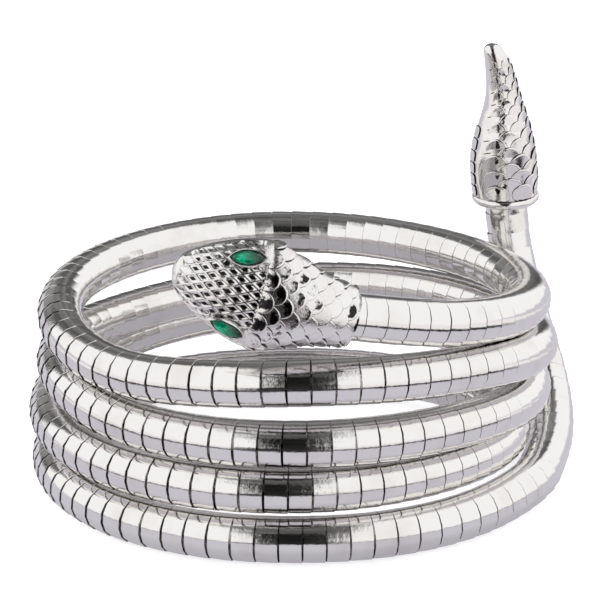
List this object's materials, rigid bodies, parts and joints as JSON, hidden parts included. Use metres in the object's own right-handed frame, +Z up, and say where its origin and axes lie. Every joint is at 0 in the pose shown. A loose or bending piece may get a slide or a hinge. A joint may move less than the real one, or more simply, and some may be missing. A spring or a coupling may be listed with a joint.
{
  "type": "snake bracelet",
  "caption": "Springy coil bracelet of overlapping metal rings that wraps up the wrist, with a cast scaled snake head, green stone eyes and a cast scaled tail.",
  "frame": {"origin": "middle of the bounding box's bottom, on the surface that the lowest turn lies on", "axes": "+Z up along the coil's axis, -Y to the front where the head lies, +X to the right of the head"},
  "size_m": [0.0788, 0.0811, 0.057],
  "materials": {
    "rings_silver": "polished",
    "cast_silver": "polished cast relief with dark recesses",
    "green_stone": "cut and polished"
  },
  "bodies": {
    "root": {"coil_body": "rings_silver", "head": "cast_silver", "tail": "cast_silver", "eye_left": "green_stone", "eye_right": "green_stone"}
  },
  "joints": []
}
